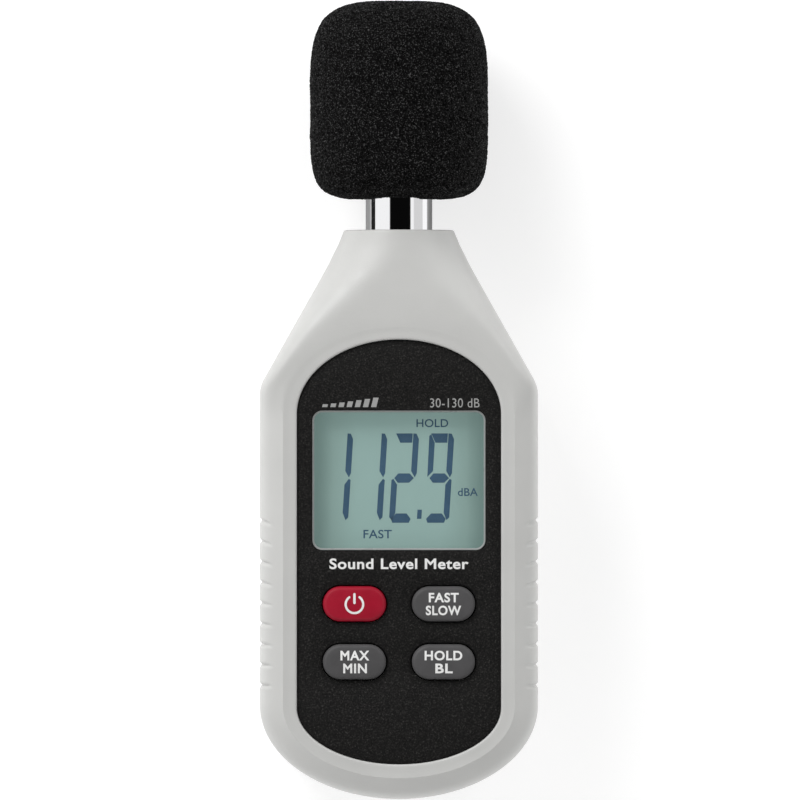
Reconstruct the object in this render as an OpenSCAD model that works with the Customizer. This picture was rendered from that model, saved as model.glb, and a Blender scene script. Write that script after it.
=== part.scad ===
// Hand-held sound level meter, lying on its back: display up (+Z), microphone towards +Y.
// Z = 0 is the back of the case. X = 0, Y = 0 is the middle of the footprint.

/* [Case] */
// Overall length, from the lower end of the case to the tip of the windscreen
overall_length = 152; // [150:1:156]
// Width across the grips
case_width = 53; // [53:0.5:56]
// Thickness from the back to the bezel
case_thickness = 30; // [30:0.5:32]
// Wall thickness of both shells
wall = 2; // [1.8:0.1:2.2]
// Rise of the rounded lower end
end_rise = 17.9; // [16:0.1:19]
// Angle between the tapered shoulder and the long axis
taper_angle = 29.3; // [28:0.1:30]
// Width of the sloping edge around the front
front_edge = 4.5; // [3.5:0.1:5]
// Width of the rounded edge around the back
rear_edge = 4; // [3:0.1:5]

/* [Grips] */
// Grip grooves on each side
groove_count = 9; // [5:1:9]
// Spacing of the grip grooves
groove_pitch = 3.93; // [3.5:0.01:4]
// Depth of a grip groove
groove_depth = 0.45; // [0.3:0.05:0.6]

/* [Microphone] */
// Radius of the half-inch microphone barrel
barrel_radius = 6.35; // [6.3:0.05:6.6]
// Wall of the barrel tube
barrel_wall = 1.1; // [0.9:0.1:1.2]
// Radius of the neck where the barrel leaves it
neck_radius = 10.3; // [10:0.1:11]
// Length of barrel in view between the neck and the windscreen
barrel_gap = 5.9; // [5:0.1:7]
// Radius of the foam windscreen
foam_radius = 17; // [16:0.1:17]
// Length of the foam windscreen
foam_length = 37.7; // [36:0.1:39]
// Depth of the barrel inside the windscreen
foam_bore_depth = 24; // [20:0.5:25]

/* [Front panel] */
// Width of the black front panel
panel_width = 38.8; // [38:0.1:39.2]
// Width of the display window
window_width = 32.9; // [31:0.1:33]
// Height of the display window
window_height = 26.5; // [25:0.1:27]
// Corner radius of the display window
window_corner = 1.9; // [1.5:0.1:2.5]

/* [Keys] */
// Length of a key
key_length = 12; // [11:0.1:12.5]
// Width of a key
key_width = 6.65; // [6:0.05:7]
// Spacing of the keys across the case
key_pitch_x = 16.9; // [16:0.1:18]
// Spacing of the keys along the case
key_pitch_y = 11; // [10.5:0.1:11.5]
// Height of a key above the bezel
key_rise = 0.5; // [0.3:0.1:0.8]

/* [Batteries] */
// Radius of an AAA cell
cell_radius = 5.25; // [5:0.05:5.25]
// Length of an AAA cell with its button
cell_length = 44.5; // [44:0.1:44.5]

/* [Tripod socket] */
// Radius of the plain bore that stands for the quarter-inch thread
socket_radius = 3.2; // [3.2:0.05:3.4]
// Length of the threaded insert
socket_length = 8; // [7:0.5:9]

/* [Hidden] */

// Smallest step that makes a cut pass clear of a face
eps = 0.01;
// Thickness of each level that the case is hulled over
slice_thickness = 0.2;
// Gap between pieces that are assembled together
fit_gap = 0.05;
// Gap between a moving key and the wall around it
key_gap = 0.25;

case_half = case_width / 2;
y_low = -overall_length / 2;
y_foam_top = overall_length / 2;
y_foam_low = y_foam_top - foam_length;
y_neck = y_foam_low - barrel_gap;
y_barrel_tip = y_foam_low + foam_bore_depth;
// Height of the microphone axis, which is also the parting plane of the shells
axis_z = foam_radius + 0.2;

// The shoulder is an arc that joins the straight side to the taper
shoulder_radius = 6.5;
shoulder_y = y_neck - 31.55;
y_end_centre = y_low + end_rise;
// Upper end of the full-thickness slab, before it narrows to the neck
slab_top = y_neck - 14.4;

// Front panel outline
panel_half = panel_width / 2;
panel_top_y = shoulder_y - 3.55;
panel_top_rise = 14.2;
panel_low_y = y_end_centre - 0.3;
panel_low_rise = 10.8;
panel_sink = 0.8;
overlay_thickness = 0.4;
z_overlay_top = case_thickness - panel_sink;
z_panel_floor = z_overlay_top - overlay_thickness;
z_front_inner = z_panel_floor - 1.8;

// Display window
window_y = panel_top_y - 12.55;
window_lip = 0.35;
lens_margin = 0.6;
lens_thickness = 1;

// Circuit board and what stands on it
pcb_half = 17.2;
pcb_thickness = 1.6;
z_pcb = axis_z + 0.2;
z_pcb_top = z_pcb + pcb_thickness;
y_pcb_low = y_low + 10;
y_pcb_high = shoulder_y + 18;

// Keys
key_x = key_pitch_x / 2;
key_y_high = window_y - 23.45;
key_y_low = key_y_high - key_pitch_y;
key_travel = 1;
key_flange = 0.8;
key_flange_thickness = 1.5;
key_stem_radius = 2.2;
z_key_top = case_thickness + key_rise;
z_key_flange = z_front_inner - 0.1;

// Battery bay, seen from the back
cell_pitch = cell_radius * 2 + 0.2;
bay_half = cell_pitch * 1.5 + 0.25;
bay_wall = 1.7;
bay_length = cell_length + 5.5;
y_bay_low = y_low + 11.5;
y_bay_high = y_bay_low + bay_length;
z_cell = 2.3 + cell_radius;
z_bay_roof = z_cell + cell_radius + 0.15;
contact_thickness = 0.4;
spring_length = bay_length - cell_length - 2 * contact_thickness - 0.15;

// Battery door
door_sink = 0.3;
door_thickness = 2;
door_gap = 0.3;
door_margin = 1;
door_half = bay_half + door_margin - door_gap;
y_door_low = y_bay_low - door_margin + door_gap;
y_door_high = y_bay_high + door_margin - door_gap;
tongue_width = 5;
tongue_reach = 1.6;
tongue_x = 10;

// Fasteners
screw_x = 20.6;
screw_y_high = shoulder_y + 1.15;
screw_y_low = y_end_centre - 1.9;
screw_head_z = 4.4;
screw_head_radius = 2.3;
screw_head_thickness = 1.6;
screw_radius = 1.25;
screw_length = 15;
insert_radius = 4.6;
insert_y = shoulder_y + 4;
insert_z = 0.4;

shell_colour = [0.78, 0.78, 0.76];
black_colour = [0.06, 0.06, 0.06];
key_colour = [0.3, 0.3, 0.3];
metal_colour = [0.8, 0.8, 0.82];
brass_colour = [0.8, 0.65, 0.35];

$fn = 64;

function arc(cx, cy, rx, ry, from, to, steps) =
    [for (i = [0:steps]) let (a = from + (to - from) * i / steps) [cx + rx * cos(a), cy + ry * sin(a)]];

// Half-width of the taper at a height y, for an outline that is moved inwards by inset
function taper_x(y, inset) =
    case_half - shoulder_radius
    + ((shoulder_radius - inset) - (y - shoulder_y) * sin(taper_angle)) / cos(taper_angle);

// Case outline moved inwards by inset, closed by a straight line at top_y
function case_outline(inset, top_y) = concat(
    arc(0, y_end_centre, case_half - inset, end_rise - inset, 180, 360, 28),
    arc(case_half - shoulder_radius, shoulder_y, shoulder_radius - inset, shoulder_radius - inset,
        0, taper_angle, 3),
    [[taper_x(top_y, inset), top_y], [-taper_x(top_y, inset), top_y]],
    arc(shoulder_radius - case_half, shoulder_y, shoulder_radius - inset, shoulder_radius - inset,
        180 - taper_angle, 180, 3)
);

// Height and inset of each level of a rounded edge
function edge_levels(z, rise, run, steps) =
    [for (i = [0:steps]) let (a = 90 * i / steps) [z + rise * sin(a), run * (1 - cos(a))]];

function panel_outline(inset) = concat(
    arc(0, panel_low_y, panel_half - inset, panel_low_rise - inset, 180, 360, 32),
    arc(0, panel_top_y, panel_half - inset, panel_top_rise - inset, 0, 180, 32)
);

// Half-width of the foam at a height y: one rounded square above the middle, a fuller one below
function foam_x(y, middle, half) =
    let (t = abs(y - middle) / half, n = y > middle ? 3.8 : 5.5)
    foam_radius * pow(max(0, 1 - pow(t, n)), 1 / n);

module slice(outline, z) {
    translate([0, 0, z]) linear_extrude(slice_thickness) polygon(outline);
}

module neck_disc(radius, y) {
    translate([0, y, axis_z]) rotate([90, 0, 0]) cylinder(r = radius, h = slice_thickness, $fn = 32);
}

// The closed outer form of the case, moved inwards by inset
module case_form(inset) {
    front_rise = 7;
    rear_rise = 5;
    front = edge_levels(case_thickness - front_rise - inset, front_rise, front_edge - inset / 2, 5);
    rear = edge_levels(-rear_rise - inset, rear_rise, rear_edge - inset / 2, 4);
    hull() {
        for (level = front)
            slice(case_outline(inset + level[1], slab_top - level[1]), level[0] - slice_thickness);
        for (level = rear) slice(case_outline(inset + level[1], slab_top - level[1]), -level[0]);
        neck_disc(neck_radius + 0.7 - inset, y_neck - 1.2 - inset);
        neck_disc(neck_radius - inset, y_neck - inset);
    }
}

module half_space(z_from, z_to) {
    size = 2 * overall_length;
    translate([-size / 2, -size / 2, z_from]) cube([size, size, z_to - z_from]);
}

module pill(length, width, height) {
    linear_extrude(height) union() {
        for (side = [-1, 1]) translate([side * (length - width) / 2, 0]) circle(d = width);
        square([length - width, width], center = true);
    }
}

module rounded_plate(width, length, corner, height) {
    linear_extrude(height) union() {
        square([width - 2 * corner, length], center = true);
        square([width, length - 2 * corner], center = true);
        for (x = [-1, 1], y = [-1, 1])
            translate([x * (width / 2 - corner), y * (length / 2 - corner)]) circle(r = corner);
    }
}

module along_y(y, z = axis_z) {
    translate([0, y, z]) rotate([-90, 0, 0]) children();
}

module at_screws() {
    for (x = [-screw_x, screw_x], y = [screw_y_low, screw_y_high]) translate([x, y, 0]) children();
}

module at_keys() {
    for (x = [-key_x, key_x], y = [key_y_low, key_y_high]) translate([x, y, 0]) children();
}

module grip_cuts() {
    cutter = 0.9;
    y_first = key_y_low - 4.6;
    for (side = [-1, 1], i = [0:groove_count - 1])
        translate([side * (case_half + cutter - groove_depth), y_first + i * groove_pitch, 5])
            cylinder(r = cutter, h = case_thickness - 10, $fn = 24);
}

// Solid round block inside the neck that carries the barrel
module neck_block(z_from, z_to) {
    depth = 10;
    intersection() {
        along_y(y_neck - depth) cylinder(r = neck_radius - wall / 2, h = depth - wall / 2);
        half_space(z_from, z_to);
    }
}

// Hole through the neck for the barrel, with a pocket behind it for the barrel's nut
module neck_hole() {
    along_y(y_neck - 12) cylinder(r = barrel_radius + fit_gap, h = 13);
    along_y(y_neck - 9) cylinder(r = 9.05, h = 4.1);
}

module front_shell() {
    color(shell_colour) difference() {
        union() {
            intersection() {
                difference() {
                    case_form(0);
                    case_form(wall);
                }
                half_space(axis_z, 2 * case_thickness);
            }
            translate([0, 0, z_front_inner])
                linear_extrude(case_thickness - 0.9 - z_front_inner) polygon(panel_outline(-1));
            at_screws() translate([0, 0, axis_z]) cylinder(r = 3, h = z_front_inner - axis_z + eps);
            neck_block(axis_z, case_thickness);
        }
        translate([0, 0, z_panel_floor]) linear_extrude(case_thickness) polygon(panel_outline(0));
        translate([0, window_y, 0]) rounded_plate(
            window_width - 2 * window_lip, window_height - 2 * window_lip, window_corner - window_lip,
            2 * case_thickness);
        at_keys() pill(key_length + 2 * key_gap, key_width + 2 * key_gap, 2 * case_thickness);
        at_screws() cylinder(r = screw_radius + 0.02, h = screw_head_z + screw_length + 1);
        neck_hole();
        grip_cuts();
    }
}

module rear_shell() {
    color(shell_colour) difference() {
        union() {
            intersection() {
                difference() {
                    case_form(0);
                    case_form(wall);
                }
                half_space(-case_thickness, axis_z);
            }
            translate([-bay_half - bay_wall, y_bay_low - bay_wall, 1])
                cube([2 * (bay_half + bay_wall), bay_length + 2 * bay_wall, z_bay_roof + 0.2]);
            at_screws() translate([0, 0, 1]) cylinder(r = 3.4, h = axis_z - 1);
            translate([0, insert_y, 1]) cylinder(r = insert_radius + 2, h = socket_length + 1);
            neck_block(0, axis_z);
        }
        translate([-bay_half, y_bay_low, -eps]) cube([2 * bay_half, bay_length, z_bay_roof]);
        translate([-door_half - door_gap, y_door_low - door_gap, -eps])
            cube([2 * (door_half + door_gap), y_door_high - y_door_low + 2 * door_gap,
                  door_sink + door_thickness + 0.1]);
        for (side = [-1, 1])
            translate([side * tongue_x - tongue_width / 2 - 0.3, y_bay_high - 1, 1.9])
                cube([tongue_width + 0.6, tongue_reach + 3, 3.2]);
        at_screws() translate([0, 0, -eps])
            cylinder(r = screw_head_radius + 0.4, h = screw_head_z + screw_head_thickness + fit_gap);
        at_screws() cylinder(r = screw_radius + 0.15, h = 2 * axis_z);
        translate([0, insert_y, -eps])
            cylinder(r = insert_radius + 0.02, h = insert_z + socket_length + fit_gap);
        neck_hole();
        grip_cuts();
    }
}

module panel_overlay() {
    color(black_colour) translate([0, 0, z_panel_floor]) difference() {
        linear_extrude(overlay_thickness) polygon(panel_outline(fit_gap));
        translate([0, window_y, -eps])
            rounded_plate(window_width, window_height, window_corner, 1);
        translate([0, 0, -eps]) at_keys() pill(key_length + 2 * key_gap, key_width + 2 * key_gap, 1);
    }
}

module window_lens() {
    color([0.8, 0.9, 0.9, 0.4]) translate([0, window_y, z_front_inner - lens_thickness - 0.02])
        rounded_plate(window_width + 2 * lens_margin, window_height + 2 * lens_margin, 1, lens_thickness);
}

// Top face of the liquid crystal cell
z_lcd_top = z_front_inner - lens_thickness - 0.3;
lcd_thickness = 2;
lcd_width = window_width - 0.3;
lcd_height = window_height + 0.8;
frame_wall = 0.7;

module lcd_glass() {
    color([0.55, 0.63, 0.58]) translate([0, window_y, z_lcd_top - lcd_thickness])
        rounded_plate(lcd_width, lcd_height, 0.3, lcd_thickness);
}

module lcd_backlight() {
    color([0.92, 0.94, 0.9]) translate([0, window_y, z_lcd_top - lcd_thickness - 1.35])
        rounded_plate(lcd_width - 1, lcd_height - 7, 0.3, 1.3);
}

module lcd_frame() {
    color([0.9, 0.9, 0.88]) translate([0, window_y, z_pcb_top]) difference() {
        rounded_plate(lcd_width + 2 * frame_wall + 0.1, lcd_height + 2 * frame_wall + 0.1, 0.8,
                      z_lcd_top - z_pcb_top - 0.3);
        translate([0, 0, -eps]) rounded_plate(lcd_width + 0.1, lcd_height + 0.1, 0.3, case_thickness);
    }
}

module zebra_strips() {
    strip = 2;
    color([0.2, 0.2, 0.22]) for (side = [-1, 1])
        translate([-lcd_width / 2 + 1, window_y + side * (lcd_height / 2 - 1.6) - strip / 2, z_pcb_top])
            cube([lcd_width - 2, strip, z_lcd_top - lcd_thickness - z_pcb_top - 0.02]);
}

module main_pcb() {
    corner = 5.2;
    color([0.1, 0.35, 0.18]) translate([0, 0, z_pcb]) linear_extrude(pcb_thickness) polygon([
        [-pcb_half, y_pcb_low], [pcb_half, y_pcb_low],
        [pcb_half, y_pcb_high - 2 * corner], [pcb_half - corner, y_pcb_high],
        [corner - pcb_half, y_pcb_high], [-pcb_half, y_pcb_high - 2 * corner]
    ]);
}

// Flat-pack circuits on the back of the board: body and two rows of legs each
module chip(size, legs) {
    leg = 0.4;
    translate([0, 0, -0.6]) cube([size, size * 0.8, 1.2], center = true);
    for (side = [-1, 1], i = [0:legs - 1])
        translate([(i - (legs - 1) / 2) * leg * 2, side * size * 0.46, -0.35])
            cube([leg, size * 0.16, 0.7], center = true);
}

module pcb_chips() {
    color([0.12, 0.12, 0.12]) {
        translate([-9, insert_y - 2, z_pcb - 0.05]) chip(8, 8);
        translate([9, insert_y + 2, z_pcb - 0.05]) chip(6, 6);
        translate([0, y_bay_low - 1, z_pcb - 0.05]) chip(5, 4);
    }
}

module pcb_capacitors() {
    color([0.2, 0.25, 0.4]) for (x = [-12, 12])
        translate([x, insert_y + 9, z_pcb - 5.05]) cylinder(r = 2.2, h = 5, $fn = 32);
}

module trim_pot() {
    body = 5;
    color([0.15, 0.3, 0.6]) translate([4, insert_y + 10, z_pcb - 2.55]) difference() {
        cube([body, body, body], center = true);
        translate([0, 0, -body / 2]) cube([body / 2, 0.7, 1.2], center = true);
    }
}

module keypad_mat() {
    mat_thickness = 0.8;
    mat_length = 2 * key_pitch_y + 1;
    color([0.25, 0.25, 0.25]) translate([0, (key_y_low + key_y_high) / 2, z_pcb_top]) difference() {
        union() {
            rounded_plate(2 * pcb_half - 1, mat_length, 2, mat_thickness);
            for (x = [-key_x, key_x], y = [-key_pitch_y, key_pitch_y] / 2)
                translate([x, y, 0]) cylinder(r1 = 4.6, r2 = 3.4, h = 2.2);
        }
        for (x = [-key_x, key_x], y = [-key_pitch_y, key_pitch_y] / 2)
            translate([x, y, -eps]) cylinder(r = key_stem_radius + 0.4, h = 3);
    }
}

module key(side, y) {
    z_stem = z_pcb_top + key_travel + 0.1;
    translate([side * key_x, y, 0]) {
        translate([0, 0, z_key_flange - eps]) pill(key_length, key_width, z_key_top - z_key_flange + eps);
        translate([0, 0, z_key_flange - key_flange_thickness])
            pill(key_length + 2 * key_flange, key_width + 2 * key_flange, key_flange_thickness);
        translate([0, 0, z_stem])
            cylinder(r = key_stem_radius, h = z_key_flange - key_flange_thickness - z_stem + eps);
    }
}

module button_power() {
    color([0.62, 0.1, 0.17]) key(-1, key_y_high);
}

module button_response() {
    color(key_colour) key(1, key_y_high);
}

module button_max_min() {
    color(key_colour) key(-1, key_y_low);
}

module button_hold() {
    color(key_colour) key(1, key_y_low);
}

barrel_length = y_barrel_tip - y_neck + 8;
grid_length = 3;

module mic_barrel() {
    color(metal_colour) along_y(y_barrel_tip - grid_length - (barrel_length - grid_length)) difference() {
        cylinder(r = barrel_radius, h = barrel_length - grid_length);
        translate([0, 0, -eps]) cylinder(r = barrel_radius - barrel_wall, h = barrel_length);
    }
}

// Slotted cap over the diaphragm
module mic_grid() {
    slot_count = 8;
    color(metal_colour) along_y(y_barrel_tip - grid_length) difference() {
        cylinder(r = barrel_radius, h = grid_length);
        translate([0, 0, -eps]) cylinder(r = barrel_radius - barrel_wall, h = grid_length - 0.8);
        for (i = [0:slot_count - 1]) rotate([0, 0, i * 360 / slot_count])
            translate([2, -0.3, -eps]) cube([2.6, 0.6, grid_length + 1]);
        translate([0, 0, -eps]) cylinder(r = 0.6, h = grid_length + 1);
    }
}

capsule_radius = 4.6;
capsule_length = 5;
y_capsule = y_barrel_tip - grid_length - capsule_length - 0.2;

module mic_capsule() {
    color(metal_colour) along_y(y_capsule) cylinder(r = capsule_radius, h = capsule_length);
}

module mic_bush() {
    color(black_colour) along_y(y_capsule - 1) difference() {
        cylinder(r = barrel_radius - barrel_wall - 0.02, h = capsule_length);
        translate([0, 0, 1]) cylinder(r = capsule_radius + 0.02, h = capsule_length);
        translate([0, 0, -eps]) cylinder(r = 3.4, h = 2);
    }
}

// Ring nut behind the neck wall that keeps the barrel in
module barrel_nut() {
    color(brass_colour) along_y(y_neck - 8.95) difference() {
        cylinder(r = 9, h = 4, $fn = 6);
        translate([0, 0, -eps]) cylinder(r = barrel_radius + 0.02, h = 5);
    }
}

module mic_leads() {
    lead_radius = 0.45;
    color([0.7, 0.15, 0.1]) for (x = [-1.4, 1.4])
        translate([x, y_pcb_high - 2, z_pcb_top + lead_radius + 0.02]) rotate([-90, 0, 0])
            cylinder(r = lead_radius, h = y_capsule - y_pcb_high + 1.95, $fn = 16);
}

module windscreen() {
    steps = 14;
    middle = (y_foam_low + y_foam_top) / 2;
    half = foam_length / 2;
    bore = barrel_radius + 0.1;
    side = [for (i = [-steps:steps]) let (a = 90 * i / steps, y = middle + half * sin(a))
        [max(foam_x(y, middle, half), abs(i) == steps ? bore + 2 : 0), y]];
    color(black_colour) translate([0, 0, axis_z]) rotate([-90, 0, 0]) rotate_extrude() polygon(concat(
        [[bore, y_foam_low]], side, [[0, y_foam_top], [0, y_barrel_tip + 0.3], [bore, y_barrel_tip + 0.3]]
    ));
}

// One AAA cell; its button points to +Y or -Y
module cell(place) {
    button = 1;
    up = place == 0 ? -1 : 1;
    y_middle = (y_bay_low + y_bay_high) / 2;
    reach = bay_length / 2 - contact_thickness - fit_gap;
    translate([place * cell_pitch, y_middle, z_cell]) rotate([-90 * up, 0, 0]) {
        translate([0, 0, reach - cell_length]) cylinder(r = cell_radius, h = cell_length - button);
        translate([0, 0, reach - button - eps]) cylinder(r = 1.9, h = button + eps, $fn = 32);
    }
}

module battery_cell_left() {
    color([0.2, 0.35, 0.3]) cell(-1);
}

module battery_cell_middle() {
    color([0.2, 0.35, 0.3]) cell(0);
}

module battery_cell_right() {
    color([0.2, 0.35, 0.3]) cell(1);
}

// Tapered coil of round wire, swept as a polyhedron along a helix about +Z
module coil(length, low_radius, high_radius, wire, turns) {
    sides = 6;
    rings = turns * 14;
    function ring(i) = let (t = i / rings, a = 360 * turns * t, r = low_radius + (high_radius - low_radius) * t)
        [for (k = [0:sides - 1]) let (b = 360 * k / sides, q = r + wire * cos(b))
            [q * cos(a), q * sin(a), wire + (length - 2 * wire) * t + wire * sin(b)]];
    points = [for (i = [0:rings]) each ring(i)];
    faces = concat(
        [[for (k = [0:sides - 1]) k]],
        [for (i = [0:rings - 1], k = [0:sides - 1]) let (n = (k + 1) % sides)
            [i * sides + k, (i + 1) * sides + k, (i + 1) * sides + n, i * sides + n]],
        [[for (k = [sides - 1:-1:0]) rings * sides + k]]
    );
    polyhedron(points, faces, convexity = 6);
}

module battery_springs() {
    y_middle = (y_bay_low + y_bay_high) / 2;
    color(metal_colour) for (place = [-1:1])
        translate([place * cell_pitch, y_middle, z_cell]) rotate([place == 0 ? 90 : -90, 0, 0])
            translate([0, 0, -bay_length / 2 + contact_thickness + 0.02])
                coil(spring_length, 3.8, 2.4, 0.3, 3);
}

module battery_contacts() {
    height = 8;
    color(metal_colour) for (place = [-1:1], y = [y_bay_low, y_bay_high - contact_thickness])
        translate([place * cell_pitch - 4.4, y, z_cell - height / 2])
            cube([8.8, contact_thickness, height]);
}

module battery_door() {
    door_length = y_door_high - y_door_low;
    color(shell_colour) difference() {
        union() {
            translate([-door_half, y_door_low, door_sink]) cube([2 * door_half, door_length, door_thickness]);
            for (side = [-1, 1])
                translate([side * tongue_x - tongue_width / 2, y_door_high - 0.6, door_sink + 1.8])
                    cube([tongue_width, tongue_reach + 0.2, 1.1]);
        }
        // Finger recess at the latch end
        translate([0, y_door_low + 5, door_sink - 8]) rotate([0, 90, 0]) translate([0, 0, -6])
            cylinder(r = 9, h = 12, $fn = 96);
    }
}

module case_screws() {
    color(metal_colour) at_screws() translate([0, 0, screw_head_z]) difference() {
        union() {
            cylinder(r = screw_head_radius, h = screw_head_thickness);
            cylinder(r = screw_radius, h = screw_length);
        }
        for (turn = [0, 90]) rotate([0, 0, turn]) translate([-1.2, -0.25, -eps]) cube([2.4, 0.5, 0.9]);
    }
}

module tripod_insert() {
    color(brass_colour) translate([0, insert_y, insert_z]) difference() {
        cylinder(r = insert_radius, h = socket_length);
        translate([0, 0, -eps]) cylinder(r = socket_radius, h = socket_length + 2 * eps);
    }
}

front_shell();
rear_shell();
panel_overlay();
window_lens();
lcd_glass();
lcd_frame();
lcd_backlight();
zebra_strips();
main_pcb();
pcb_chips();
pcb_capacitors();
trim_pot();
keypad_mat();
button_power();
button_response();
button_max_min();
button_hold();
mic_barrel();
mic_grid();
mic_capsule();
mic_bush();
barrel_nut();
mic_leads();
windscreen();
battery_cell_left();
battery_cell_middle();
battery_cell_right();
battery_springs();
battery_contacts();
battery_door();
case_screws();
tripod_insert();
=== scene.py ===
import math
from collections import namedtuple

import bmesh
import bpy
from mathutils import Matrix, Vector, noise
from mathutils.geometry import delaunay_2d_cdt, tessellate_polygon


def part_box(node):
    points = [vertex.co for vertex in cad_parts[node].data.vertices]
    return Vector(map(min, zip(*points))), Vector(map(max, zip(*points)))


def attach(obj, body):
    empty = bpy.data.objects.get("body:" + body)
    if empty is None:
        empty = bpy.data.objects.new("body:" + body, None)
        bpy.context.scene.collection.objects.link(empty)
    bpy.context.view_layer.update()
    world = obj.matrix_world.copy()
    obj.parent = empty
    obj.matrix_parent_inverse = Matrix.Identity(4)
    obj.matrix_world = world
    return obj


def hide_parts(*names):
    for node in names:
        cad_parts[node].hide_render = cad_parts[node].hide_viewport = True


# A hand-held sound level meter lying on its back. Shapes are worked out in millimetres in the
# frame's axes (+X right, +Y towards the microphone, +Z out of the display) and scaled once.
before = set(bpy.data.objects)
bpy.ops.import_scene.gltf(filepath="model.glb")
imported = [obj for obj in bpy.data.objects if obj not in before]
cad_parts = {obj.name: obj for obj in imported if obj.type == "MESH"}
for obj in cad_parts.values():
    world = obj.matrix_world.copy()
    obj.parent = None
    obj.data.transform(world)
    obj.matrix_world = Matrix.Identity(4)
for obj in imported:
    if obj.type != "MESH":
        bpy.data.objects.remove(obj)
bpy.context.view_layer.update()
MM = 0.001


def box_mm(node):
    low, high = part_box(node)
    return [c / MM for c in low], [c / MM for c in high]


# ---- dimensions from the frame
case_low, case_high = box_mm("rear_shell")
bezel_z = box_mm("front_shell")[1][2]
seam_z = case_high[2]
half_width = case_high[0]
y_low, y_neck = case_low[1], case_high[1]
panel_low, panel_high = box_mm("panel_overlay")
foam_low, foam_high = box_mm("windscreen")
foam_radius = foam_high[0]
barrel_low, barrel_high = box_mm("mic_barrel")
barrel_radius = barrel_high[0]
grid_high = box_mm("mic_grid")[1]
lcd_high = box_mm("lcd_glass")[1]
lens_low, lens_high = box_mm("window_lens")
door_low, door_high = box_mm("battery_door")
insert_low, insert_high = box_mm("tripod_insert")
screws_low, screws_high = box_mm("case_screws")

# ---- proportions of the case
END_RISE = 17.9
NECK_RADIUS = 10.3
NECK_EDGE = 0.5
NECK_SHARE = 0.62
TAPER = math.radians(29.3)
SHOULDER_RADIUS = 6.5
shoulder_y = y_neck - 31.55
end_y = y_low + END_RISE
# Outline of the ridge around the front, of the panel and of the flat back: half-width,
# centre and rise of the rounded lower end, centre and rise of the rounded upper end
RIDGE = (22.0, end_y, 13.7, shoulder_y - 2.9, 16.0)
PANEL = (panel_high[0] + 0.05, end_y - 0.3, 10.8, shoulder_y - 3.55, 14.2)
BACK = (24.3, end_y, 15.7, shoulder_y, 14.0)
BEZEL_DROP, BEZEL_EDGE = 0.12, 0.42
WINDOW_SIZE = (32.9, 26.5)
WINDOW_CORNER = 1.9
WINDOW_LIP = 0.35
window_y = (lens_low[1] + lens_high[1]) / 2
GROOVES = 9
GROOVE_PITCH = 3.93
GROOVE_DEPTH = 0.45
GROOVE_HALF = 0.62
GROOVE_FIRST = end_y + 3.8
KEYS = {
    "button_power": "power_key",
    "button_response": "response_key",
    "button_max_min": "max_min_key",
    "button_hold": "hold_key",
}
KEY_LENGTH, KEY_WIDTH, KEY_GAP, KEY_FLANGE = 12.0, 6.65, 0.25, 0.8
COLLAR_SLOPE, COLLAR_BLEND, COLLAR_FILLET = 0.36, 0.6, 0.25
SEAM_LIP, SEAM_DEPTH, SEAM_EDGE, SEAM_HALF = 1.2, 0.32, 0.08, 0.15
# How finely the case is divided: ribs of its lower end, taper and neck, and steps up its sides
END_RIBS, TAPER_RIBS, NECK_RIBS = 60, 64, 40
FINE_STEP, PLAIN_STEP = 0.155, 0.45
WALL = 2.0
SECTION_POWER = 5
FRONT_CREST = 0.19
SCREW_HEAD_RADIUS = 2.3
SCREW_POCKET_RADIUS, SCREW_POCKET_DEPTH, SCREW_SHANK_RADIUS = 2.7, 6.05, 1.3
INSERT_POCKET_RADIUS, INSERT_POCKET_DEPTH = 4.65, 8.45
DOOR_TONGUE = 1.2
DOOR_CORNER = 0.8
DOOR_GAP = 0.3
FOAM_PILE = 0.12
FOAM_CELL = 0.85
FOAM_ARCH = 1.0


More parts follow.
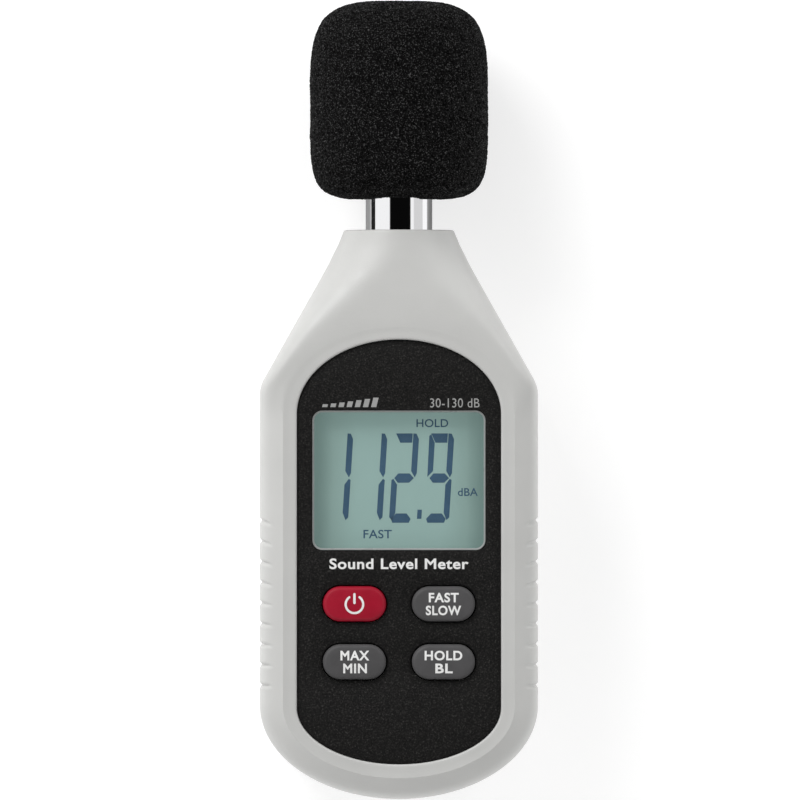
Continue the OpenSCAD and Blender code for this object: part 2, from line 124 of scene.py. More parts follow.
# ---- materials
class Shader:
    """A Principled material and the nodes that drive it."""

    def __init__(self, name, colour, roughness, metallic=0.0, **sockets):
        self.material = bpy.data.materials.new(name)
        self.material.use_nodes = True
        self.tree = self.material.node_tree
        self.link = self.tree.links.new
        self.shader = self.tree.nodes["Principled BSDF"]
        self.shader.inputs["Base Color"].default_value = (*colour, 1)
        self.shader.inputs["Roughness"].default_value = roughness
        self.shader.inputs["Metallic"].default_value = metallic
        for socket, value in sockets.items():
            self.shader.inputs[socket.replace("_", " ")].default_value = value
        self.coordinates = self.node("ShaderNodeTexCoord").outputs["Object"]

    def node(self, kind, **values):
        made = self.tree.nodes.new(kind)
        for key, value in values.items():
            setattr(made, key, value)
        return made

    def texture(self, kind, size_mm, **values):
        """Texture node whose features are about size_mm across."""
        made = self.node(kind, **values)
        made.inputs["Scale"].default_value = 1 / (size_mm * MM)
        self.link(self.coordinates, made.inputs["Vector"])
        return made

    def noise(self, size_mm, detail=3.0, roughness=0.55):
        made = self.texture("ShaderNodeTexNoise", size_mm)
        made.inputs["Detail"].default_value = detail
        made.inputs["Roughness"].default_value = roughness
        return made.outputs["Fac"]

    def cells(self, size_mm):
        """Distance to the borders of cells."""
        return self.texture("ShaderNodeTexVoronoi", size_mm, feature="DISTANCE_TO_EDGE").outputs["Distance"]

    def ramp(self, value, stops):
        """Colour ramp over a value: stops are (position, colour or grey)."""
        made = self.node("ShaderNodeValToRGB")
        elements = made.color_ramp.elements
        while len(elements) < len(stops):
            elements.new(0.5)
        for element, (position, colour) in zip(elements, stops):
            element.position = position
            element.color = (*colour, 1) if isinstance(colour, tuple) else (colour,) * 3 + (1,)
        self.link(value, made.inputs["Fac"])
        return made.outputs["Color"]

    def place(self, axis):
        """Coordinate along one axis of the object."""
        split = self.node("ShaderNodeSeparateXYZ")
        self.link(self.coordinates, split.inputs[0])
        return split.outputs[axis]

    def math(self, operation, *terms):
        """A Math node whose terms are sockets or numbers."""
        made = self.node("ShaderNodeMath", operation=operation)
        for socket, term in zip(made.inputs, terms):
            if isinstance(term, (int, float)):
                socket.default_value = term
            else:
                self.link(term, socket)
        return made.outputs[0]

    def drive(self, socket, value):
        self.link(value, self.shader.inputs[socket])

    def bump(self, height, distance_mm, strength=1.0):
        made = self.node("ShaderNodeBump")
        made.inputs["Distance"].default_value = distance_mm * MM
        made.inputs["Strength"].default_value = strength
        self.link(height, made.inputs["Height"])
        old = self.shader.inputs["Normal"].links
        if old:
            self.link(old[0].from_socket, made.inputs["Normal"])
        self.drive("Normal", made.outputs["Normal"])
        return self

    def mottle(self, size_mm, dark, light):
        """Base colour that wanders between two close colours."""
        self.drive("Base Color", self.ramp(self.noise(size_mm), [(0.3, dark), (0.7, light)]))

    def gloss(self, size_mm, low, high):
        """Roughness that wanders between two values."""
        self.drive("Roughness", self.ramp(self.noise(size_mm), [(0.3, low), (0.7, high)]))


def moulded(name, dark, light, roughness, grain_mm=0.35, relief_mm=0.012):
    """Moulded plastic: fine spark-eroded grain, faint mottling, uneven gloss."""
    made = Shader(name, light, roughness, Specular_IOR_Level=0.45)
    made.mottle(9, dark, light)
    made.gloss(3.5, roughness - 0.05, roughness + 0.06)
    return made.bump(made.noise(grain_mm, 2), relief_mm).bump(made.noise(6, 1), 0.03).material


def panel_film():
    """Black textured film with fine pale specks."""
    made = Shader("panel_film", (0.008, 0.008, 0.008), 0.5, Specular_IOR_Level=0.1)
    specks = made.ramp(made.noise(0.32, 4, 0.75),
                       [(0.40, 0.005), (0.56, (0.013, 0.0125, 0.012)), (0.70, (0.05, 0.048, 0.046))])
    made.drive("Base Color", specks)
    made.gloss(1.4, 0.5, 0.66)
    return made.bump(made.noise(0.28, 3), 0.03).material


def foam_black():
    """Open-cell foam: black, with pale specks painted into its colour as highlights where the ends of its
    strands catch the light.
    """
    made = Shader("foam", (0.006, 0.006, 0.006), 0.75, Specular_IOR_Level=0.06)
    # Painted highlights: the pale specks in the base colour stand for glints of light on the foam's
    # strands.
    rib_glints = made.ramp(made.noise(0.28, 2, 0.6), [(0.45, 0.001), (0.57, 0.006), (0.70, 0.095)])
    made.drive("Base Color", rib_glints)
    return made.bump(made.noise(0.28, 2, 0.6), 0.45).material


def metal(name, colour, roughness, grain_mm, relief_mm, **sockets):
    made = Shader(name, colour, roughness, 1.0, **sockets)
    made.gloss(grain_mm * 6, roughness * 0.8, roughness * 1.25)
    return made.bump(made.noise(grain_mm), relief_mm).material


def rubber(name, dark, light, roughness):
    made = Shader(name, light, roughness, Specular_IOR_Level=0.18)
    made.mottle(4, dark, light)
    made.gloss(2.2, roughness - 0.04, roughness + 0.06)
    return made.bump(made.noise(0.16, 2), 0.008).material


def lcd_field():
    """Grey-green reflective cell, darker towards its left and right ends with painted shade where the
    window's side walls shade it, and given a faint glow of painted light that lifts its recess.
    """
    # The emission is painted light: a faint glow that lifts the shade of the recess.
    made = Shader("lcd_field", (0.22, 0.335, 0.315), 0.42, Specular_IOR_Level=0.3,
                  Emission_Color=(0.28, 0.42, 0.39, 1), Emission_Strength=0.47)
    # Painted shade: the colour darkens from the middle towards the left and right ends, standing in for the
    # shade of the window's walls.
    share = made.math("DIVIDE", made.math("ABSOLUTE", made.place("X")), lcd_high[0] * MM)
    wander = made.math("MULTIPLY_ADD", made.noise(14, 1), 0.12, share)
    made.drive("Base Color", made.ramp(wander, [
        (0.55, (0.150, 0.225, 0.213)), (0.84, (0.112, 0.166, 0.152)), (1.0, (0.020, 0.045, 0.040))]))
    made.gloss(5, 0.38, 0.46)
    return made.bump(made.noise(0.5), 0.002).material


def lcd_ink():
    made = Shader("lcd_ink", (0.028, 0.082, 0.15), 0.5, Specular_IOR_Level=0.2)
    made.mottle(3, (0.024, 0.076, 0.138), (0.034, 0.090, 0.162))
    return made.bump(made.noise(0.4), 0.002).material


def clear_lens():
    made = Shader("clear_lens", (0.3, 0.33, 0.32), 0.05, Alpha=0.04, Specular_IOR_Level=0.5)
    made.gloss(7, 0.04, 0.08)
    return made.bump(made.noise(12, 1), 0.004).material


def print_ink(name, colour):
    made = Shader(name, colour, 0.5, Specular_IOR_Level=0.4)
    made.mottle(1.2, tuple(c * 0.9 for c in colour), colour)
    return made.bump(made.noise(0.2), 0.004).material


def circuit_board():
    """Green solder mask over faint copper tracks."""
    made = Shader("circuit_board", (0.02, 0.13, 0.05), 0.3, Coat_Weight=0.3)
    made.drive("Base Color", made.ramp(made.cells(2.6),
               [(0.0, (0.04, 0.2, 0.08)), (0.08, (0.035, 0.18, 0.07)), (0.12, (0.015, 0.1, 0.035))]))
    return made.bump(made.noise(0.6), 0.01).material


def cell_wrap():
    """Printed film sleeve: a dark body with a copper-coloured band."""
    made = Shader("cell_wrap", (0.03, 0.09, 0.08), 0.32, Coat_Weight=0.4)
    along = made.node("ShaderNodeMapRange")
    made.link(made.place("Y"), along.inputs["Value"])
    cell_low, cell_high = box_mm("battery_cell_left")
    along.inputs["From Min"].default_value = cell_low[1] * MM
    along.inputs["From Max"].default_value = cell_high[1] * MM
    made.drive("Base Color", made.ramp(along.outputs[0],
               [(0.02, (0.45, 0.45, 0.44)), (0.03, (0.02, 0.075, 0.07)), (0.72, (0.03, 0.09, 0.08)),
                (0.73, (0.42, 0.22, 0.10)), (0.955, (0.46, 0.25, 0.12)), (0.965, (0.5, 0.5, 0.5))]))
    return made.bump(made.noise(1.5), 0.02).material


M = {
    "case": moulded("case_plastic", (0.505, 0.505, 0.493), (0.525, 0.525, 0.512), 0.45),
    "rim": moulded("window_rim", (0.27, 0.28, 0.275), (0.30, 0.31, 0.305), 0.3),
    "panel": panel_film(),
    "foam": foam_black(),
    "chrome": metal("chrome", (0.82, 0.82, 0.83), 0.035, 1.2, 0.0006),
    "steel": metal("steel", (0.55, 0.55, 0.56), 0.28, 0.3, 0.006),
    "brass": metal("brass", (0.72, 0.50, 0.22), 0.25, 0.4, 0.006),
    "spring": metal("spring_steel", (0.62, 0.62, 0.64), 0.2, 0.25, 0.003),
    "red": rubber("key_red", (0.29, 0.005, 0.020), (0.34, 0.007, 0.025), 0.5),
    "grey": rubber("key_grey", (0.066, 0.065, 0.066), (0.080, 0.078, 0.080), 0.5),
    "rubber": rubber("black_rubber", (0.018, 0.018, 0.018), (0.03, 0.03, 0.03), 0.7),
    "white_ink": print_ink("white_ink", (0.80, 0.80, 0.79)),
    "grey_ink": print_ink("grey_ink", (0.33, 0.33, 0.325)),
    "lcd": lcd_field(),
    "lcd_ink": lcd_ink(),
    "lens": clear_lens(),
    "white": moulded("white_plastic", (0.72, 0.72, 0.70), (0.78, 0.78, 0.76), 0.4),
    "board": circuit_board(),
    "black": moulded("black_epoxy", (0.010, 0.010, 0.011), (0.018, 0.018, 0.019), 0.5),
    "blue": moulded("blue_sleeve", (0.012, 0.06, 0.22), (0.02, 0.08, 0.28), 0.35),
    "red_wire": moulded("red_wire", (0.40, 0.015, 0.010), (0.48, 0.02, 0.014), 0.4),
    "cell": cell_wrap(),
}


# ---- mesh helpers
def new_object(name, data):
    made = bpy.data.objects.new(name, data)
    bpy.context.scene.collection.objects.link(made)
    return made


def smooth(a, b, x):
    t = min(1, max(0, (x - a) / (b - a)))
    return t * t * (3 - 2 * t)


def add_piece(name, mesh, body, material, replaced=(), sharp_angle=32):
    """Finishes a bmesh given in millimetres as a piece that rides on a body."""
    bmesh.ops.remove_doubles(mesh, verts=mesh.verts, dist=1e-5)
    bmesh.ops.recalc_face_normals(mesh, faces=mesh.faces)
    bmesh.ops.scale(mesh, vec=(MM, MM, MM), verts=mesh.verts)
    data = bpy.data.meshes.new(name)
    mesh.to_mesh(data)
    mesh.free()
    for face in data.polygons:
        face.use_smooth = abs(face.normal.z) < 0.99999
    data.set_sharp_from_angle(angle=math.radians(sharp_angle))
    piece = new_object(name, data)
    data.materials.append(M[material])
    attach(piece, body)
    if replaced:
        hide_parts(*replaced)
    return piece


def strip(mesh, rings, cap_start=False, cap_end=False):
    """Skins a list of closed rings, each a list of points of the same length."""
    rows = [[mesh.verts.new(p) for p in ring] for ring in rings]
    count = len(rows[0])
    for low, high in zip(rows, rows[1:]):
        for i in range(count):
            j = (i + 1) % count
            mesh.faces.new((low[i], low[j], high[j], high[i]))
    if cap_start:
        mesh.faces.new(list(reversed(rows[0])))
    if cap_end:
        mesh.faces.new(rows[-1])


def inside_loop(point, loop):
    """Whether a point in plan lies inside a closed loop."""
    inside = False
    for (x0, y0), (x1, y1) in zip(loop, loop[1:] + loop[:1]):
        if (y0 > point.y) != (y1 > point.y) and point.x < x0 + (point.y - y0) * (x1 - x0) / (y1 - y0):
            inside = not inside
    return inside


def fill(mesh, loops, z):
    """Flat face at height z between an outer loop and the loops of its holes."""
    points, edges = [], []
    for loop in loops:
        first, count = len(points), len(loop)
        points += [Vector(p) for p in loop]
        edges += [(first + k, first + (k + 1) % count) for k in range(count)]
    places, _, triangles = delaunay_2d_cdt(points, edges, [], 1, 1e-6)[:3]
    verts = [mesh.verts.new((p.x, p.y, z)) for p in places]
    for triangle in triangles:
        middle = sum((places[i] for i in triangle), Vector((0, 0))) / 3
        if not any(inside_loop(middle, hole) for hole in loops[1:]):
            mesh.faces.new([verts[i] for i in triangle])


def at_z(loop, z):
    return [(p[0], p[1], z) for p in loop]


def sides(mesh, outline, steps, cap_end=False):
    """Skins an outline, given as a function of its offset, through (offset, height) steps."""
    strip(mesh, [at_z(outline(offset), z) for offset, z in steps], cap_end=cap_end)


def circle(radius, segments):
    """Points of a full circle about the origin."""
    turns = [2 * math.pi * k / segments for k in range(segments)]
    return [(radius * math.cos(a), radius * math.sin(a)) for a in turns]


def lathe(mesh, profile, axis_point, axis, segments):
    """Turns (radius, distance along) points about an axis through axis_point."""
    x, y, z = axis_point
    strip(mesh, [[(x + u, along, z + v) if axis == "Y" else (x + u, y + v, along)
                  for u, v in circle(radius, segments)] for radius, along in profile])


def ellipse(cx, cy, rx, ry, start, end, steps):
    return [(cx + rx * math.cos(a), cy + ry * math.sin(a))
            for a in (start + (end - start) * k / steps for k in range(steps + 1))]


def rounded_rectangle(cx, cy, width, height, corner):
    loop = []
    for k, (sx, sy) in enumerate([(1, 1), (-1, 1), (-1, -1), (1, -1)]):
        loop += ellipse(cx + sx * (width / 2 - corner), cy + sy * (height / 2 - corner), corner, corner,
                        k * math.pi / 2, (k + 1) * math.pi / 2, 8)
    return loop


def pill(cx, cy, length, width, steps=24):
    flat = (length - width) / 2
    return (ellipse(cx + flat, cy, width / 2, width / 2, -math.pi / 2, math.pi / 2, steps)
            + ellipse(cx - flat, cy, width / 2, width / 2, math.pi / 2, 3 * math.pi / 2, steps))


# ---- case outline as columns
def outline_point(outline, part, f):
    """Point of a two-ended outline: part 0 is the lower end, 1 the side, 2 the upper end."""
    half, low_y, low_rise, high_y, high_rise = outline
    if part == 0:
        a = (f - 1) * math.pi / 2
        return half * math.cos(a), low_y + low_rise * math.sin(a)
    if part == 1:
        return half, low_y + (high_y - low_y) * f
    a = f * math.pi / 2
    return half * math.cos(a), high_y + high_rise * math.sin(a)


def taper_half(y):
    """Half-width of the case above the shoulder: a straight taper that eases into a short collar."""
    arc_end = shoulder_y + SHOULDER_RADIUS * math.sin(TAPER)
    x_end = half_width - SHOULDER_RADIUS * (1 - math.cos(TAPER))
    if y < arc_end:
        return half_width - SHOULDER_RADIUS + math.sqrt(SHOULDER_RADIUS ** 2 - (y - shoulder_y) ** 2)
    straight = x_end - (y - arc_end) * math.tan(TAPER)
    collar = NECK_RADIUS + (y_neck - y) * COLLAR_SLOPE
    return max(straight, collar) + COLLAR_FILLET * math.exp(-((straight - collar) / COLLAR_BLEND) ** 2)


# One rib of the case: where it starts on the seam, the outline point that it runs to, how deep its
# grip groove is, and on the neck's end its angle round the barrel
Column = namedtuple("Column", "x y normal part share groove turn", defaults=(0.0, None))


def grip_groove(y):
    """Depth of the grip grooves at a height along the side, from 0 to 1."""
    number = min(GROOVES - 1, max(0, round((y - GROOVE_FIRST) / GROOVE_PITCH)))
    off = abs(y - GROOVE_FIRST - GROOVE_PITCH * number) / GROOVE_HALF
    return math.cos(off * math.pi / 2) ** 2 if off < 1 else 0


def half_columns():
    """Ribs of the right half, from the middle of the lower end to the middle of the neck."""
    columns = []
    for k in range(END_RIBS):
        a = (k / END_RIBS - 1) * math.pi / 2
        normal = Vector((END_RISE * math.cos(a), half_width * math.sin(a), 0)).normalized()
        columns.append(Column(half_width * math.cos(a), end_y + END_RISE * math.sin(a), normal, 0,
                              k / END_RIBS))
    y = end_y
    while y < shoulder_y:
        share = (y - end_y) / (shoulder_y - end_y)
        columns.append(Column(half_width, y, Vector((1, 0, 0)), 1, share, grip_groove(y)))
        near_groove = grip_groove(y - 0.5) + grip_groove(y) + grip_groove(y + 0.5)
        y += FINE_STEP if near_groove else PLAIN_STEP
    neck_y = y_neck - NECK_EDGE
    for k in range(TAPER_RIBS):
        y = shoulder_y + (neck_y - shoulder_y) * k / TAPER_RIBS
        slope = (taper_half(y - 0.2) - taper_half(y + 0.2)) / 0.4
        columns.append(Column(taper_half(y), y, Vector((1, slope, 0)).normalized(), 2,
                              NECK_SHARE * k / TAPER_RIBS))
    for k in range(NECK_RIBS + 1):
        a = k / NECK_RIBS * math.pi / 2
        columns.append(Column(taper_half(neck_y) * math.cos(a), neck_y, Vector((math.cos(a), 0, 0)), 2,
                              NECK_SHARE + (1 - NECK_SHARE) * k / NECK_RIBS, turn=a))
    return columns


class Half:
    """Shape of one half of the case between the seam and its flat face.

    side is 1 for the front and -1 for the rear. Every section across the case is a superellipse
    from the seam to the outline, whose power falls to that of a circle at the neck.
    """

    def __init__(self, side, face_z, outline, crest):
        self.side, self.outline, self.crest = side, outline, crest
        self.height = abs(face_z - seam_z)
        self.neck_radius = taper_half(y_neck - NECK_EDGE)

    def section(self, x, y):
        """Height over the seam at a place in plan."""
        top = self.outline[3] + self.outline[4]
        along = min(1, max(0, (y - top) / (y_neck - NECK_EDGE - top)))
        height = self.height - (self.height - self.neck_radius) * along ** 1.5
        blend = 1 - smooth(self.outline[3] + 2, y_neck - NECK_EDGE, y)
        power = 2 + (SECTION_POWER - 2) * blend
        wide = taper_half(y) if y > shoulder_y else half_width
        level_half = self.outline[0] * (1 - smooth(0, y_neck - 2.4, y))
        crest = self.crest * (1 - smooth(-4, 6, y))
        return self.rise((wide - abs(x)) / (wide - level_half), height, power, crest)

    def rise(self, reach, height, power, crest):
        reach = min(1, max(0, reach))
        return height * ((1 - crest) * (1 - (1 - reach) ** power) ** (1 / power) + crest * reach)

    def rib(self, column, rows=26):
        """Points of a rib from just off the seam to the outline."""
        end = outline_point(self.outline, column.part, column.share)
        points = []
        for k in range(rows + 1):
            reach = 1 - math.cos(math.pi / 2 * (0.012 + 0.988 * k / rows)) ** 0.7
            x = column.x + (end[0] - column.x) * reach
            y = column.y + (end[1] - column.y) * reach
            if column.part == 0:
                lift = self.rise(reach, self.height, SECTION_POWER, self.crest)
            else:
                lift = self.section(x, y)
            if column.turn is None and k == 0:
                lift = max(lift, SEAM_HALF)
            point = Vector((x, y, seam_z + self.side * lift))
            depth = (Vector((column.x, column.y, 0)) - Vector((x, y, 0))).dot(column.normal)
            point -= column.normal * GROOVE_DEPTH * column.groove * (1 - smooth(0.9, 2.9, depth))
            points.append(point)
        return points

    def edge(self, column):
        """Inner side of the seam's groove, or the rounded end of the neck round the barrel."""
        if column.turn is None:
            start = Vector((column.x, column.y, seam_z))
            groove = column.normal * GROOVE_DEPTH * column.groove
            return [start - column.normal * SEAM_LIP, start - column.normal * SEAM_DEPTH - groove,
                    start - column.normal * SEAM_EDGE - groove + Vector((0, 0, self.side * SEAM_EDGE))]
        around = Vector((math.cos(column.turn), 0, self.side * math.sin(column.turn)))
        centre = Vector((0, y_neck, seam_z))
        return [centre + around * (barrel_radius + 0.1), centre + around * (self.neck_radius - NECK_EDGE),
                centre + around * (self.neck_radius - 0.13) - Vector((0, 0.15, 0))]

    def rings(self, at_face=None):
        """Rings of the shell: edge, outer skin, what at_face adds, inner skin. The number is
        that of the first ring of the inner skin."""
        columns = []
        for column in half_columns():
            outer = self.rib(column)
            inner = [self.inside(p) for p in outer[::4]]
            added = at_face(column, outer[-1]) if at_face else []
            columns.append(self.edge(column) + outer + added + inner[::-1])
        columns += [[Vector((-p.x, p.y, p.z)) for p in column] for column in columns[-2:0:-1]]
        rings = [[column[k] for column in columns] for k in range(len(columns[0]))]
        return rings, len(rings) - len(inner)

    def inside(self, p):
        """The matching point of the inner skin: the outside drawn in towards the middle."""
        middle = (y_low + y_neck) / 2
        return Vector((p.x * (1 - WALL / half_width),
                       middle + (p.y - middle) * (1 - WALL / (y_neck - middle)),
                       seam_z + (p.z - seam_z) * (1 - WALL / self.height)))


def full_outline(outline):
    """The outline as a closed loop with one point for each column of the case."""
    right = [outline_point(outline, column.part, column.share) for column in half_columns()]
    return right + [(-x, y) for x, y in right[-2:0:-1]]


def scaled_panel(inset):
    half, low_y, low_rise, high_y, high_rise = PANEL
    return (half - inset, low_y, low_rise - inset, high_y, high_rise - inset)


def key_centre(node):
    low, high = box_mm(node)
    return (low[0] + high[0]) / 2, (low[1] + high[1]) / 2


def plate(mesh, outline, holes, low, high, bevel):
    """A closed flat plate; its upper edges are bevelled. Each hole is a function of its offset."""
    fill(mesh, [outline(bevel)] + [hole(bevel) for hole in holes], high)
    fill(mesh, [outline(0)] + [hole(0) for hole in holes], low)
    for loop in [outline] + holes:
        sides(mesh, loop, [(0, low), (0, high - bevel), (bevel * 0.3, high - bevel * 0.3), (bevel, high)])


# ---- the case
def front_shell():
    """Front half, with its bezel and the plate under the panel film."""
    panel_floor = panel_low[2]
    inner_z = lens_high[2] + 0.02

    def bezel(column, ridge):
        """From the ridge over the bezel, round its inner edge and down to the panel's floor."""
        px, py = outline_point(PANEL, column.part, column.share)
        across = Vector((px, py, 0)) - Vector((ridge.x, ridge.y, 0))
        flat = across.length - BEZEL_EDGE
        across.normalize()
        steps = [(share * flat, BEZEL_DROP * smooth(-0.1, 0.6, share))
                 for share in (0.07, 0.16, 0.26, 0.38, 0.5, 0.75, 1.0)]
        steps += [(flat + BEZEL_EDGE * math.sin(a), BEZEL_DROP + BEZEL_EDGE * (1 - math.cos(a)))
                  for a in map(math.radians, (20, 45, 70, 90))]
        points = [Vector((ridge.x, ridge.y, bezel_z - drop)) + across * way for way, drop in steps]
        return points + [Vector((px, py, panel_floor - 0.05)), Vector((px, py, inner_z))]

    mesh = bmesh.new()
    rings, _ = Half(1, bezel_z, RIDGE, FRONT_CREST).rings(bezel)
    strip(mesh, rings + [rings[0]])
    outer = full_outline(scaled_panel(0.02))

    def outline(offset):
        return outer

    def window(offset):
        return window_loop(2 * offset - 0.05)

    plate(mesh, outline, [window] + [key_hole(node) for node in KEYS], inner_z, panel_floor, 0.02)
    add_piece("front_case", mesh, "case", "case", ("front_shell",))


def key_hole(node):
    """Opening of a key, as a function that gives its outline set out by an offset."""
    cx, cy = key_centre(node)

    def outline(offset):
        grown = 2 * (KEY_GAP + offset)
        return pill(cx, cy, KEY_LENGTH + grown, KEY_WIDTH + grown)

    return outline


def round_hole(x, y, radius, segments):
    """Round opening, as a function that gives its outline set out by an offset."""
    def outline(offset):
        return [(x + u, y + v) for u, v in circle(radius + offset, segments)]

    return outline


def window_loop(grow):
    return rounded_rectangle(0, window_y, WINDOW_SIZE[0] + grow, WINDOW_SIZE[1] + grow,
                             WINDOW_CORNER + grow / 2)


def window_rim():
    """Raised lip round the window, whose top slopes in to the opening."""
    top, floor, opening = panel_high[2] + 0.04, lens_high[2] + 0.02, -2 * WINDOW_LIP
    mesh = bmesh.new()
    sides(mesh, window_loop, [(-0.06, floor), (-0.06, top - 0.04), (-0.1, top), (-0.16, top),
                              (opening + 0.06, top - 0.36), (opening, top - 0.42), (opening, floor),
                              (-0.06, floor)])
    add_piece("window_rim", mesh, "case", "rim")


def rear_shell():
    """Rear half, with its battery bay, screw pockets and the seat of the tripod insert."""
    mesh = bmesh.new()
    rings, face = Half(-1, 0.0, BACK, 0).rings()
    strip(mesh, rings[face:] + rings[:face])
    door_y = (door_low[1] + door_high[1] - DOOR_TONGUE) / 2
    pocket = (2 * (door_high[0] + DOOR_GAP), door_high[1] - DOOR_TONGUE - door_low[1] + 2 * DOOR_GAP)
    bay = (2 * door_high[0] - 1.4, pocket[1] - 2)
    bevel = 0.25

    def door_hole(offset):
        return rounded_rectangle(0, door_y, pocket[0] + 2 * offset, pocket[1] + 2 * offset,
                                 DOOR_CORNER + offset)

    inset = SCREW_HEAD_RADIUS
    screw_places = [(x, y) for x in (screws_low[0] + inset, screws_high[0] - inset)
                    for y in (screws_low[1] + inset, screws_high[1] - inset)]
    insert_y = (insert_low[1] + insert_high[1]) / 2
    holes = [door_hole] + [round_hole(x, y, SCREW_POCKET_RADIUS, 48) for x, y in screw_places]
    holes.append(round_hole(0, insert_y, INSERT_POCKET_RADIUS, 64))
    outer, inner = [[p[:2] for p in ring] for ring in (rings[face - 1], rings[face])]
    fill(mesh, [outer] + [hole(bevel) for hole in holes], 0)
    fill(mesh, [inner] + [hole(0) for hole in holes], WALL)
    for hole in holes:
        sides(mesh, hole, [(bevel, 0), (bevel * 0.3, bevel * 0.3), (0, bevel), (0, WALL)])
    bay_loop = rounded_rectangle(0, door_y, *bay, 0.5)
    bay_outer = rounded_rectangle(0, door_y, pocket[0] + 2.4, pocket[1] + 2.4, 1.2)
    ledge, roof = WALL + 0.35, box_mm("battery_cell_left")[1][2] + 0.15
    strip(mesh, [at_z(door_hole(0), WALL), at_z(door_hole(0), ledge), at_z(bay_loop, ledge),
                 at_z(bay_loop, roof)], cap_end=True)
    strip(mesh, [at_z(door_hole(0), WALL), at_z(bay_outer, WALL), at_z(bay_outer, roof + 1.2)],
          cap_end=True)
    for x, y in screw_places:
        cup(mesh, x, y, SCREW_POCKET_RADIUS, SCREW_POCKET_DEPTH, SCREW_SHANK_RADIUS)
    cup(mesh, 0, insert_y, INSERT_POCKET_RADIUS, INSERT_POCKET_DEPTH, 0.01)
    add_piece("rear_case", mesh, "case", "case", ("rear_shell",))


def cup(mesh, x, y, radius, depth, through):
    """Round pocket behind the back wall, with a hole through its end."""
    skin = 1.2
    lathe(mesh, [(radius, WALL), (radius, depth), (through, depth), (through, depth + 1),
                 (radius + skin, depth + 1), (radius + skin, WALL), (radius, WALL)],
          (x, y, 0), "Z", 48)


def panel_overlay():
    """Film over the front, with openings for the window and the keys."""
    def outline(offset):
        return full_outline(scaled_panel(0.06 + offset))

    def window(offset):
        return window_loop(2 * offset)

    mesh = bmesh.new()
    plate(mesh, outline, [window] + [key_hole(node) for node in KEYS], panel_low[2], panel_high[2], 0.06)
    add_piece("front_panel", mesh, "case", "panel", ("panel_overlay",))


# ---- lettering and symbols
def raised(mesh, loop, low, thickness, surface=None):
    """Closed plate from one outline, at a height over z = 0 or over a surface given by z(x, y)."""
    def level(x, y):
        return low + surface(x, y) if surface else low

    flat = [Vector((x, y, 0)) for x, y in loop]
    for lift in (0, thickness):
        verts = [mesh.verts.new((x, y, level(x, y) + lift)) for x, y in loop]
        for triangle in tessellate_polygon([flat]):
            mesh.faces.new([verts[i] for i in triangle])
    strip(mesh, [[(x, y, level(x, y) + lift) for x, y in loop] for lift in (0, thickness)])


def lettering(name, words, centre, width, height, low, body, material, weight=0.0, surface=None,
              spacing=1.0, thickness=0.03):
    """One line of printed words as thin raised geometry, fitted to a width and height."""
    curve = bpy.data.curves.new(name + "_curve", "FONT")
    curve.body = words
    curve.size = 1
    curve.space_character = spacing
    curve.bevel_depth = weight
    curve.bevel_resolution = 0
    curve.extrude = 0.5
    curve.resolution_u = 5
    text = new_object(name + "_text", curve)
    depsgraph = bpy.context.evaluated_depsgraph_get()
    data = bpy.data.meshes.new_from_object(text.evaluated_get(depsgraph))
    bpy.data.objects.remove(text)
    mesh = bmesh.new()
    mesh.from_mesh(data)
    bmesh.ops.remove_doubles(mesh, verts=mesh.verts, dist=1e-5)
    xs = [v.co.x for v in mesh.verts]
    ys = [v.co.y for v in mesh.verts]
    for vert in mesh.verts:
        x = centre[0] + ((vert.co.x - min(xs)) / (max(xs) - min(xs)) - 0.5) * width
        y = centre[1] + ((vert.co.y - min(ys)) / (max(ys) - min(ys)) - 0.5) * height
        lift = thickness if vert.co.z > 0 else -thickness
        vert.co = (x, y, (surface(x, y) if surface else low) + lift)
    add_piece(name, mesh, body, material)


def panel_print():
    """Title, range and a row of rising level bars."""
    low = panel_high[2]
    lettering("panel_title", "Sound Level Meter", (0, -31.1), 26.4, 2.05, low, "case", "white_ink",
              weight=0.024, spacing=1.08)
    lettering("panel_range", "30-130 dB", (10.6, -0.55), 9.4, 1.75, low, "case", "grey_ink",
              spacing=1.05)
    mesh = bmesh.new()
    bars, bar_width, step, slant = 7, 1.0, 1.55, 0.25
    first_x, foot = -14.6, -1.35
    for k in range(bars):
        x = first_x + k * step
        rise = 0.55 + 1.25 * (k / (bars - 1)) ** 1.2
        lean = slant * rise
        raised(mesh, [(x, foot), (x + bar_width, foot), (x + bar_width + lean, foot + rise),
                      (x + lean, foot + rise)], low - 0.03, 0.06)
    add_piece("panel_level_bars", mesh, "case", "grey_ink")


# ---- keys
KEY_FILLET = 0.75
KEY_DOME = 0.28


def key_inset(cx, cy, x, y):
    """How far a point lies inside the edge of a key."""
    flat = (KEY_LENGTH - KEY_WIDTH) / 2
    dx = max(abs(x - cx) - flat, 0)
    return KEY_WIDTH / 2 - math.hypot(dx, y - cy)


def key_height(top, inset):
    """Height of a key's face at a distance inside its edge: a rounded edge under a slight dome."""
    dome = KEY_DOME * (1 - min(1, max(0, inset) / (KEY_WIDTH / 2))) ** 2
    reach = min(max(inset, 0), KEY_FILLET)
    edge = KEY_FILLET - math.sqrt(KEY_FILLET ** 2 - (KEY_FILLET - reach) ** 2)
    return top - dome - edge


